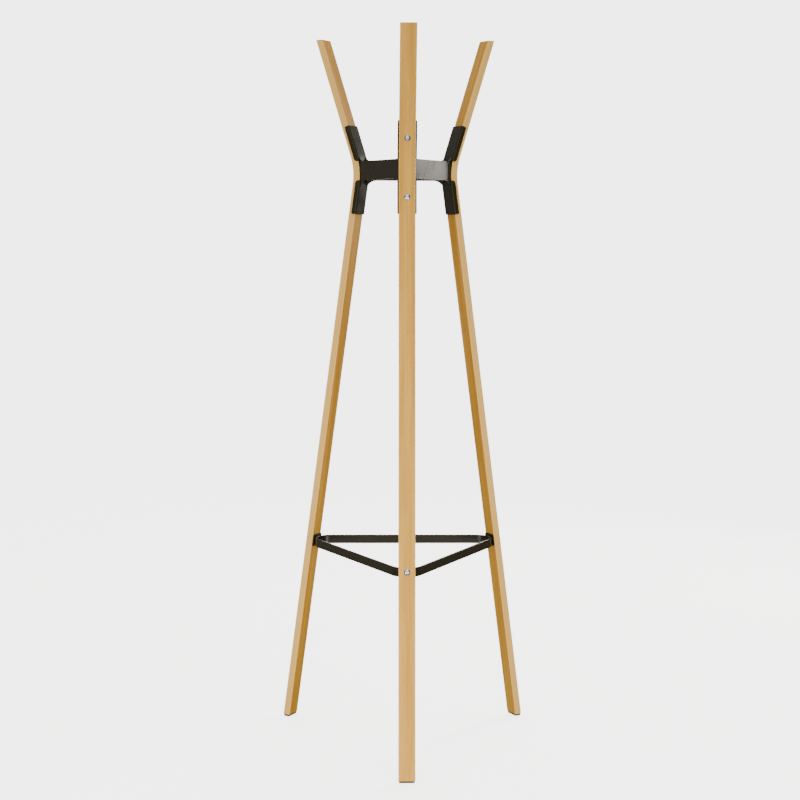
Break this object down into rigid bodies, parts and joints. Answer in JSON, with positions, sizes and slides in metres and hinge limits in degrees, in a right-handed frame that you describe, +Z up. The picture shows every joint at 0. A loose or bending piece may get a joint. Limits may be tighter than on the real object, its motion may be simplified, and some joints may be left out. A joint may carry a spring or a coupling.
{
  "type": "coat rack",
  "caption": "Free-standing coat rack with bent timber legs that splay out at top and bottom, held by a folded steel hub and a rounded triangular steel ring.",
  "frame": {"origin": "middle of the overall footprint, on the floor", "axes": "+Z up, the front leg points to -Y, +X to the right when the front leg is seen head on; the three legs stand around a vertical axis that passes 77.5 mm behind the origin"},
  "size_m": [0.6136, 0.5314, 1.7],
  "materials": {
    "timber": "clear matt lacquer",
    "painted_steel": "satin, near black with a slight bronze cast",
    "bolt_steel": "bright zinc plate",
    "pad": "matt"
  },
  "bodies": {
    "root": {"leg_front": "timber", "leg_right": "timber", "leg_left": "timber", "foot_pad_front": "pad", "foot_pad_right": "pad", "foot_pad_left": "pad", "hub_bracket_front": "painted_steel", "hub_bracket_right": "painted_steel", "hub_bracket_left": "painted_steel", "hub_link_front_right": "painted_steel", "hub_link_back": "painted_steel", "hub_link_front_left": "painted_steel", "ring_bar": "painted_steel", "ring_seat_front": "painted_steel", "ring_seat_right": "painted_steel", "ring_seat_left": "painted_steel", "bolt_upper_front": "bolt_steel", "bolt_upper_right": "bolt_steel", "bolt_upper_left": "bolt_steel", "bolt_lower_front": "bolt_steel", "bolt_lower_right": "bolt_steel", "bolt_lower_left": "bolt_steel", "bolt_ring_front": "bolt_steel", "bolt_ring_right": "bolt_steel", "bolt_ring_left": "bolt_steel", "nut_upper_front": "painted_steel", "nut_upper_right": "painted_steel", "nut_upper_left": "painted_steel", "nut_lower_front": "painted_steel", "nut_lower_right": "painted_steel", "nut_lower_left": "painted_steel", "nut_ring_front": "painted_steel", "nut_ring_right": "painted_steel", "nut_ring_left": "painted_steel"}
  },
  "joints": []
}
